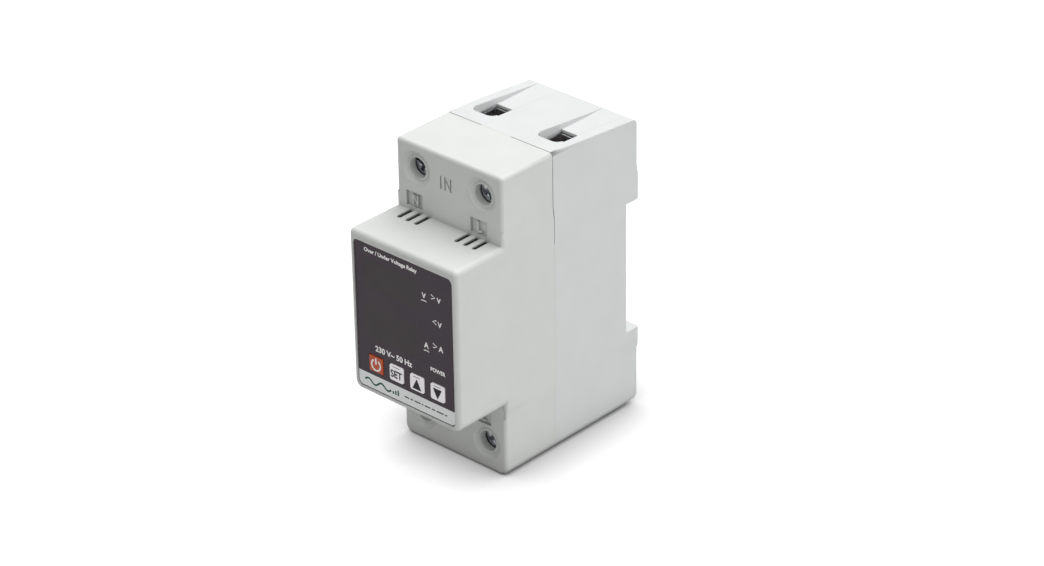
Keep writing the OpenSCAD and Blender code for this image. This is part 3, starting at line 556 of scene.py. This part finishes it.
def make_overlay():
    x = (OVERLAY_LOW[0], OVERLAY_HIGH[0])
    dark = [round_rect(x, (STRIP_TOP, OVERLAY_HIGH[2]), [0, 0, PANEL_CORNER, PANEL_CORNER])]
    dark += [window_outline(ranges) for ranges in WINDOWS.values()]
    dark += [key_opening(node) for node in KEY_NODES]
    panel = case_plate("overlay_panel", dark, OVERLAY_FRONT, OVERLAY_BACK, 0.01)
    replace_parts(panel, "front_overlay")
    strip = round_rect(x, (OVERLAY_LOW[2], STRIP_TOP), [PANEL_CORNER, PANEL_CORNER, 0, 0])
    case_plate("overlay_strip", [strip], OVERLAY_FRONT, OVERLAY_BACK, 0.02, STRIP_FILM)

    # a dark line round the strip's two lower corners
    line = 0.24
    radius = PANEL_CORNER + line / 2
    z = OVERLAY_LOW[2] + PANEL_CORNER
    border = (arc((x[0] + PANEL_CORNER, z), radius, 200, 270, 8)
              + arc((x[1] - PANEL_CORNER, z), radius, 270, 340, 8))
    case_plate("overlay_border", [stroke(border, line)], OVERLAY_FRONT + 0.05, OVERLAY_BACK)

    for name, ranges in WINDOWS.items():
        case_plate("window_" + name, [window_outline(ranges)], OVERLAY_FRONT, OVERLAY_BACK,
                   material=WINDOW_SMOKE)


def printed(outline):
    """An inked outline on the front of the overlay."""
    return plate("printed", [outline], OVERLAY_FRONT - PRINT_LIFT, OVERLAY_FRONT)


def underline(x, z):
    """A short rule, bent down at both ends."""
    path = [(x - 0.85, z - 0.12), (x - 0.6, z + 0.08), (x + 0.6, z + 0.08), (x + 0.85, z - 0.12)]
    return printed(stroke(path, 0.26))


def chevron(x, z, way):
    """A plain greater-than sign, or a less-than sign where way is -1."""
    half = 0.65
    path = [(x - way * half, z + 0.6), (x + way * half, z), (x - way * half, z - 0.6)]
    return printed(stroke(path, 0.27))


def make_print():
    """Generic captions, pictograms and rules in ink on the overlay."""
    # text, its middle (x, z), height of its capitals, width or None, and boldness
    captions = [("Over / Under Voltage Relay", -4.2, 20.0, 1.1, 17.9, 0.05),
                ("230 V~ 50 Hz", -4.1, -6.9, 1.6, 12.6, 0.07),
                ("V", 6.9, 14.3, 1.4, None, 0.07), ("V", 11.9, 14.6, 1.4, None, 0.07),
                ("V", 12.0, 7.9, 1.4, None, 0.07), ("A", 7.3, 0.6, 1.5, None, 0.07),
                ("A", 12.2, 1.2, 1.5, None, 0.07), ("POWER", 11.0, -5.5, 1.1, 5.0, 0.05)]
    white = [lettering("caption", text, x, z, height, OVERLAY_FRONT, PRINT_LIFT, width, bold)
             for text, x, z, height, width, bold in captions]
    white += [underline(6.9, 12.85), underline(7.3, -1.0)]
    white += [chevron(10.0, 14.9, 1), chevron(10.3, 8.2, -1), chevron(10.2, 1.4, 1)]
    keep("print_white", merged("print_white", white), "case", "overlay_film", WHITE_INK)

    # a wave of two periods, and three bars that rise beside it
    points, height = 48, 0.62
    wave = [(-14.4 + 9.0 * i / points,
             PRINT_LINE - 0.1 + height * math.sin(4 * math.pi * i / points))
            for i in range(points + 1)]
    green = [printed(stroke(wave, 0.5))]
    for i in range(3):
        left = -4.9 + 0.85 * i
        green.append(printed(round_rect((left, left + 0.5),
                                        (PRINT_LINE - 0.8, PRINT_LINE + 0.35 * i), [0.1] * 4, 2)))
    keep("print_green", merged("print_green", green), "case", "overlay_film", GREEN_INK)

    # a row of dashes where a line of small text would be
    dashes = []
    start, gap = -0.8, 0.45
    for length in (1.6, 0.9, 2.1, 0.5, 1.9, 1.2, 2.4, 0.8):
        dashes.append(printed(stroke([(start, PRINT_LINE), (start + length, PRINT_LINE)], 0.34)))
        start += length + gap
    keep("print_dark", merged("print_dark", dashes), "case", "overlay_film", DARK_INK)


make_overlay()
make_print()


# ---------------------------------------------------------------- keys

FLANGE_DEPTH = 1.3
FLANGE_CORNER = 0.3
SHOULDER = 0.2           # radius of the rounding round a key's face
MARK_PROUD = 0.008       # how far the marks stand out from a key's face
MARK_SUNK = 0.042        # and how far they reach into it


def key_cap(node, corner):
    """A cap with rounded shoulders and a slightly hollow face, on a flange."""
    low, high = millimetres(node)
    middle = (low[0] + high[0]) / 2, (low[2] + high[2]) / 2
    front, back = low[1], high[1]
    flange = back - FLANGE_DEPTH
    half = KEY_FACE[0] / 2, KEY_FACE[1] / 2
    wide = (high[0] - low[0]) / 2, (high[2] - low[2]) / 2
    rings = []

    def ring(inset, y, size=half, radius=corner):
        outline = round_rect((middle[0] - size[0] + inset, middle[0] + size[0] - inset),
                             (middle[1] - size[1] + inset, middle[1] + size[1] - inset),
                             [max(radius - inset, 0.03)] * 4, 6)
        rings.append([(x, y, z) for x, z in outline])

    ring(1.6, front + 0.05)
    ring(0.7, front + 0.015)
    for i in range(6):
        turn = math.radians(90 * i / 5)
        ring(SHOULDER * (1 - math.sin(turn)), front + SHOULDER * (1 - math.cos(turn)))
    ring(0.0, flange - 0.15)
    ring(-0.12, flange)
    for inset, y in ((0.1, flange), (0.0, flange + 0.1), (0.0, back - 0.1), (0.1, back)):
        ring(inset, y, wide, FLANGE_CORNER)
    bm = bmesh.new()
    loft(bm, rings)
    return from_bmesh(node + "_cap", bm, 40)


def key_mark(outline, face):
    """An inked outline on the face of a key."""
    return plate("key_mark", [outline], face - MARK_PROUD, face + MARK_SUNK)


def make_keys():
    face = millimetres("key_set")[0][1]
    for node, corner in zip(KEY_NODES, (0.18, 0.6, 0.6, 0.6)):
        body, slot = BODY_OF[node], SLOT_OF[node]
        cap = keep(node + "_cap", key_cap(node, corner), body, slot)
        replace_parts(cap, node)
        x, _, z = middle_of(node)
        if node == "key_power":
            marks = [key_mark(stroke(arc((x, z - 0.15), 1.5, 122, 418, 40), 0.45), face),
                     key_mark(stroke([(x, z + 0.1), (x, z + 1.8)], 0.45), face)]
        elif node == "key_set":
            marks = [lettering("set", "SET", x, z - 0.25, 2.1, face + MARK_SUNK,
                               MARK_PROUD + MARK_SUNK, 3.9, 0.06)]
        else:
            way = 1 if node == "key_up" else -1
            triangle = [(x - 1.5, z - 0.3 - way * 1.4), (x + 1.5, z - 0.3 - way * 1.4),
                        (x, z - 0.3 + way * 1.5)]
            marks = [key_mark(triangle[::way], face)]
        if node != "key_power":
            rule = stroke([(x - 1.2, z + 1.75), (x + 1.2, z + 1.75)], 0.16)
            marks.append(key_mark(rule, face))
        tint = WHITE_INK if node == "key_power" else DARK_INK
        keep(node + "_mark", merged(node + "_mark", marks), body, slot, tint)


make_keys()


# ---------------------------------------------------------------- CAD solids with softened edges

# How far the sharp edges of each solid are rounded, in millimetres. 0 leaves them as they are.
EDGE_WIDTHS = {
    "front_shell": 0, "rear_base": 0,
    "tact_switches": 0.15, "display_board": 0.05, "main_board": 0.05,
    "voltage_display": 0.12, "current_display": 0.12, "controller_chip": 0.06,
    "driver_chip": 0.06, "board_header": 0.1, "fuse_resistor": 0, "dropper_capacitor": 0.5,
    "bridge_rectifier": 0.2, "current_transformer": 0.5, "relay_base": 0.25,
    "relay_cover": 0.4, "coil_bobbin": 0.15, "relay_core": 0.15, "relay_yoke": 0.15,
    "relay_armature": 0.15, "relay_pusher": 0.25, "moving_contact": 0.1,
    "fixed_contact": 0.15, "neutral_bar": 0.15, "live_in_bar": 0.15, "live_out_bar": 0.15,
    "rail_clip": 0.25, "cage_in_n": 0.2, "cage_in_l": 0.2, "cage_out_n": 0.2,
    "cage_out_l": 0.2}
SOFT_ANGLE = math.radians(30)    # edges sharper than this are rounded


def softened(node, width):
    """A copy of a CAD node whose sharp edges are rounded by width millimetres."""
    mesh = frame["nodes"][node].data.copy()
    mesh.name = node + "_finished"
    bm = bmesh.new()
    bm.from_mesh(mesh)
    bmesh.ops.remove_doubles(bm, verts=bm.verts, dist=1e-7)
    bmesh.ops.dissolve_limit(bm, angle_limit=math.radians(0.25), verts=bm.verts, edges=bm.edges)
    bmesh.ops.dissolve_degenerate(bm, dist=2e-5, edges=bm.edges)
    bm.to_mesh(mesh)
    bm.free()
    mesh.shade_smooth()
    mesh.set_sharp_from_angle(angle=SOFT_ANGLE)
    piece = bpy.data.objects.new(node + "_finished", mesh)
    SCENE.collection.objects.link(piece)
    if width:
        bevel = piece.modifiers.new("edges", "BEVEL")
        bevel.width = width * MM
        bevel.segments = 2
        bevel.limit_method = "ANGLE"
        bevel.angle_limit = SOFT_ANGLE
    piece.modifiers.new("even_normals", "WEIGHTED_NORMAL").keep_sharp = True
    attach(piece, BODY_OF[node])
    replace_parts(piece, node)


for node, width in EDGE_WIDTHS.items():
    softened(node, width)


# ---------------------------------------------------------------- terminal screws

HEAD_DEPTH = 1.8
SLOT_HALF = 0.45
SLOT_DEPTH = 1.1
CROSS_HALF = 0.55        # half the width of an arm of the cross
CROSS_REACH = 2.1        # and half the length of two arms
CROSS_DEPTH = 1.5
THREAD_RADIUS = 2.5
THREAD_PITCH = 0.8
THREAD_DEPTH = 0.42
SCREW_ANGLES = {"screw_in_n": 24, "screw_in_l": 68, "screw_out_n": -15, "screw_out_l": 52}


def circle_point(radius, i, count):
    """Point i of count round a circle."""
    angle = 2 * math.pi * i / count
    return radius * math.cos(angle), radius * math.sin(angle)


def turned(profile, count=48):
    """Rings of a solid turned about the y axis from (y, radius) pairs."""
    rings = []
    for y, radius in profile:
        points = [circle_point(radius, i, count) for i in range(count)]
        rings.append([(x, y, z) for x, z in points])
    return rings


def prism_cutter(outline, front, back):
    """A cutter: an (x, z) outline pushed from the plane front to the plane back."""
    bm = bmesh.new()
    loft(bm, [[(x, y, z) for x, z in outline] for y in (front, back)])
    bmesh.ops.recalc_face_normals(bm, faces=bm.faces)
    return plain_object("cutter", bm)


def screw_head(front, back, radius):
    """A cheese head with a combined slot and cross, and a short neck behind it."""
    neck = THREAD_RADIUS - 0.2
    bm = bmesh.new()
    loft(bm, turned([(front, 0.4), (front, radius - 0.5), (front + 0.06, radius - 0.25),
                     (front + 0.2, radius - 0.06), (front + 0.45, radius),
                     (back - 0.2, radius), (back - 0.05, radius - 0.08),
                     (back, radius - 0.2), (back, neck), (back + 0.3, neck - 0.05)]))
    bmesh.ops.recalc_face_normals(bm, faces=bm.faces)
    head = plain_object("head", bm)
    a, b = CROSS_HALF, CROSS_REACH
    cross = [(a, a), (a, b), (-a, b), (-a, a), (-b, a), (-b, -a),
             (-a, -a), (-a, -b), (a, -b), (a, -a), (b, -a), (b, a)]
    wide = radius + 2
    slot = [(-wide, -SLOT_HALF), (wide, -SLOT_HALF), (wide, SLOT_HALF), (-wide, SLOT_HALF)]
    cutters = [prism_cutter(slot, front - 1, front + SLOT_DEPTH),
               prism_cutter(cross, front - 1, front + CROSS_DEPTH)]
    for cutter in cutters:
        cut = head.modifiers.new("cut", "BOOLEAN")
        cut.object = cutter
        cut.solver = "EXACT"
    edges = head.modifiers.new("edges", "BEVEL")
    edges.width = 0.09
    edges.segments = 2
    edges.angle_limit = math.radians(40)
    bpy.context.view_layer.update()
    finished = bpy.data.meshes.new_from_object(
        head.evaluated_get(bpy.context.evaluated_depsgraph_get()))
    for spent in [head] + cutters:
        bpy.data.objects.remove(spent)
    return finished


def thread_rings(start, end):
    """Rings of a rolled thread, which fades in at its start and tapers off at its end."""
    sides, steps = 24, 8
    count = int((end - start) / THREAD_PITCH * steps)
    rings = []
    for row in range(count + 1):
        y = start + (end - start) * row / count
        left = (end - y) / 0.5
        ease = min(1.0, (y - start) / 0.6, left + 0.05)
        taper = 0.45 * (1 - min(1.0, left))
        ring = []
        for i in range(sides):
            phase = (y / THREAD_PITCH - i / sides) % 1.0
            groove = THREAD_DEPTH * (1 - abs(2 * phase - 1))
            x, z = circle_point(THREAD_RADIUS - groove * ease - taper, i, sides)
            ring.append((x, y, z))
        rings.append(ring)
    return rings


def screw_mesh(front, tip, head_radius):
    """A terminal screw about the y axis, from its face to its tip."""
    back = front + HEAD_DEPTH
    head = screw_head(front, back, head_radius)
    bm = bmesh.new()
    bm.from_mesh(head)
    bpy.data.meshes.remove(head)
    loft(bm, thread_rings(back + 0.25, tip))
    return from_bmesh("screw", bm, 32)


def make_screws():
    low, high = millimetres("screw_in_l")
    template = screw_mesh(low[1], high[1], (high[0] - low[0]) / 2)
    for node, angle in SCREW_ANGLES.items():
        low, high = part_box(node)
        mesh = template.copy()
        mesh.transform(Matrix.Translation(((low.x + high.x) / 2, 0, (low.z + high.z) / 2))
                       @ Matrix.Rotation(math.radians(angle), 4, "Y"))
        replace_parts(keep(node + "_finished", mesh, BODY_OF[node], SLOT_OF[node]), node)


make_screws()


# ---------------------------------------------------------------- coil, spring and small parts

SPRING_RADIUS = 1.1
SPRING_WIRE = 0.2
SPRING_TURNS = 8
SPRING_CENTRE = 0, 2.75          # (x, y)
COIL_INNER = 3.05
COIL_WIRE = 0.28
RESISTOR_RADIUS = 1.9
BAND_COLOURS = {"brown": (96, 56, 30), "black": (28, 28, 30), "gold": (176, 140, 62)}


def helix(name, radius, wire, start, end, turns, centre):
    """Round wire wound about the z axis, with its first and last turns laid flat."""
    per_turn, sides, flat = 28, 10, 0.75
    steps = per_turn * turns
    rings = []
    for i in range(steps + 1):
        turn = turns * i / steps
        climb = min(max((turn - flat) / (turns - 2 * flat), 0.0), 1.0)
        z = start + wire + (end - start - 2 * wire) * climb
        ring = []
        for j in range(sides):
            out, up = circle_point(wire, j, sides)
            x, y = circle_point(radius + out, i, per_turn)
            ring.append((centre[0] + x, centre[1] + y, z + up))
        rings.append(ring)
    bm = bmesh.new()
    loft(bm, rings)
    return from_bmesh(name, bm, 60)


def make_spring():
    low, high = millimetres("clip_spring")
    mesh = helix("clip_spring_wire", SPRING_RADIUS, SPRING_WIRE, low[2], high[2], SPRING_TURNS,
                 SPRING_CENTRE)
    spring = keep("clip_spring_wire", mesh, "case", "spring_steel")
    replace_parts(spring, "clip_spring")
    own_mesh(spring)


def make_coil():
    """Layers of fine wire: the outermost turns show as close ridges."""
    low, high = millimetres("coil_winding")
    x, y, _ = middle_of("coil_winding")
    outer, height = (high[0] - low[0]) / 2, high[2] - low[2]
    steps = int(height / COIL_WIRE) * 4
    profile = [(low[2], COIL_INNER), (low[2], outer - COIL_WIRE)]
    for i in range(steps + 1):
        swell = abs(math.sin(math.pi * i / 4))
        profile.append((low[2] + height * i / steps,
                        outer - COIL_WIRE / 2 + COIL_WIRE / 2 * swell))
    profile += [(high[2], outer - COIL_WIRE), (high[2], COIL_INNER)]
    rings = [[(x + px, y + pz, py) for px, py, pz in ring] for ring in turned(profile, 56)]
    rings.append(rings[0])
    bm = bmesh.new()
    loft(bm, rings, False, False)
    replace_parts(keep("coil_turns", from_bmesh("coil_turns", bm, 60), "case", "coil_copper"),
                "coil_winding")


def ring_piece(name, node, rings, centre, material):
    """A thin turned ring or disc on a round CAD part."""
    bm = bmesh.new()
    loft(bm, [[tuple(a + b for a, b in zip(point, centre)) for point in ring] for ring in rings])
    keep(name, from_bmesh(name, bm), BODY_OF[node], SLOT_OF[node], material)


def make_component_details():
    """The capacitor's bare metal end and the resistor's colour bands."""
    front = millimetres("smoothing_capacitor")[0][1]
    x, _, z = middle_of("smoothing_capacitor")
    rim = 4.1
    cap = turned([(front - 0.02, 0.5), (front - 0.02, rim - 0.2), (front + 0.05, rim),
                  (front + 0.3, rim)], 40)
    ring_piece("capacitor_cap", "smoothing_capacitor", cap, (x, 0, z),
               metal("bare_tin", srgb(196, 198, 200), 0.28))

    axis = 0, millimetres("fuse_resistor")[1][1] - 3.0, 0
    width, proud = 0.6, RESISTOR_RADIUS + 0.13
    for i, (label, tint) in enumerate(BAND_COLOURS.items()):
        start = -10.6 + 1.1 * i
        band = turned([(start, RESISTOR_RADIUS), (start, proud), (start + width, proud),
                       (start + width, RESISTOR_RADIUS)], 40)
        lying = [[(y, x, z) for x, y, z in ring] for ring in band]
        ring_piece("resistor_band_" + label, "fuse_resistor", lying, axis,
                   coated("band_" + label, srgb(*tint), 0.4))


make_spring()
make_coil()
make_component_details()


# ---------------------------------------------------------------- stage, light and camera

FLOOR_HALF = 6               # metres, as all below
FLOOR_DROP = 0.00002         # the floor lies this far under the part
CARD_DROP = 0.0003           # and the card under the part this far
CARD_MARGIN = 0.004
CARD_SETBACK = 0.013         # from the nose's front, which stands out over the floor
PAINTED_SHADOW_REACH = 0.018        # painted contact shadow: the floor darkens within this distance of the part


def make_floor(height):
    """Pale paper that glows evenly, with a painted contact shadow close to the part."""
    bm = bmesh.new()
    bmesh.ops.create_grid(bm, x_segments=8, y_segments=8, size=FLOOR_HALF)
    floor = plain_object("floor", bm)
    floor.location.z = height
    finish = Finish("floor_paper_painted_shadow", srgb(148, 148, 148), Roughness=0.9, Emission_Strength=0.85)
    finish.feed("Base Color", finish.mottle(0.004, 0.3))
    # painted contact shadow: the floor's glow dims where the part is close by
    painted_shade_ao = finish.node("ShaderNodeAmbientOcclusion", {"Distance": PAINTED_SHADOW_REACH}, samples=16)
    finish.feed("Emission Color", finish.node("ShaderNodeGamma", {
        "Color": painted_shade_ao.outputs["Color"], "Gamma": 1.4}).outputs[0])
    finish.bump(finish.noise(0.002, 2), 0.00002, 0.1)
    floor.data.materials.append(finish.material)
    floor.visible_diffuse = False
    floor.visible_shadow = False


def make_contact_card(low, high, height):
    """A dark card under the part. It is out of sight, and keeps light off the underside."""
    left, right = low[0] - CARD_MARGIN, high[0] + CARD_MARGIN
    front, back = low[1] + CARD_SETBACK, high[1] + CARD_MARGIN
    bm = bmesh.new()
    bm.faces.new([bm.verts.new((x, y, height)) for x, y in (
        (left, front), (right, front), (right, back), (left, back))])
    card = plain_object("contact_card", bm)
    card.data.materials.append(film("contact_card", srgb(60, 60, 62), 0.8))
    card.visible_camera = False


def make_stage():
    low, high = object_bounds()
    make_floor(low[2] - FLOOR_DROP)
    make_contact_card(low, high, low[2] - CARD_DROP)


def sun(name, strength, spread, azimuth, elevation):
    """A distant soft light. Azimuth 0 shines from in front, along +Y, and 90 from the right."""
    light = bpy.data.lights.new(name, "SUN")
    light.energy = strength
    light.angle = math.radians(spread)
    lamp = bpy.data.objects.new(name, light)
    SCENE.collection.objects.link(lamp)
    a, e = math.radians(azimuth), math.radians(elevation)
    source = Vector((math.sin(a) * math.cos(e), -math.cos(a) * math.cos(e), math.sin(e)))
    lamp.rotation_euler = source.to_track_quat("Z", "Y").to_euler()


def make_light():
    """A bright ceiling, a glow from the floor on the right, and soft lights from above and
    the right."""
    world = bpy.data.worlds.new("studio")
    SCENE.world = world
    world.use_nodes = True
    tree = world.node_tree
    way = tree.nodes.new("ShaderNodeSeparateXYZ")
    tree.links.new(tree.nodes.new("ShaderNodeTexCoord").outputs["Generated"], way.inputs[0])

    def graded(source, spread, to):
        made = tree.nodes.new("ShaderNodeMapRange")
        tree.links.new(source, made.inputs["Value"])
        for socket, value in zip(("From Min", "From Max", "To Min", "To Max"), spread + to):
            made.inputs[socket].default_value = value
        return made.outputs[0]

    def combined(operation, first, second):
        made = tree.nodes.new("ShaderNodeMath")
        made.operation = operation
        tree.links.new(first, made.inputs[0])
        tree.links.new(second, made.inputs[1])
        return made.outputs[0]

    ceiling = graded(way.outputs["Z"], (0.0, 1.0), (0.0, 1.12))
    below = graded(way.outputs["Z"], (-0.05, 0.05), (1.0, 0.0))
    sideways = graded(way.outputs["X"], (-1.0, 1.0), (0.0, 0.8))
    glow = combined("ADD", ceiling, combined("MULTIPLY", below, sideways))
    tree.links.new(glow, tree.nodes["Background"].inputs["Strength"])
    tree.nodes["Background"].inputs["Color"].default_value = (1.0, 1.0, 1.0, 1.0)
    sun("top_light", 1.36, 60, 180, 60)
    sun("side_light", 0.45, 60, 105, 25)
    SCENE.view_settings.view_transform = "Standard"


CAMERA_PLACE = 0.5644, -0.62643, 0.45600
CAMERA_TURN = 42.9116        # degrees about Z, from looking along +Y
CAMERA_TILT = 61.0574        # degrees from looking straight down
CAMERA_ROLL = -0.8864        # degrees about its own line of sight


def make_camera():
    camera = bpy.data.cameras.new("camera")
    camera.lens = 129.45
    camera.sensor_width = 36
    camera.clip_start = 0.05
    stand = bpy.data.objects.new("camera", camera)
    SCENE.collection.objects.link(stand)
    turn = (Matrix.Rotation(math.radians(CAMERA_TURN), 4, "Z")
            @ Matrix.Rotation(math.radians(CAMERA_TILT), 4, "X")
            @ Matrix.Rotation(math.radians(CAMERA_ROLL), 4, "Z"))
    stand.matrix_world = Matrix.Translation(CAMERA_PLACE) @ turn
    SCENE.camera = stand


make_stage()
make_light()
make_camera()
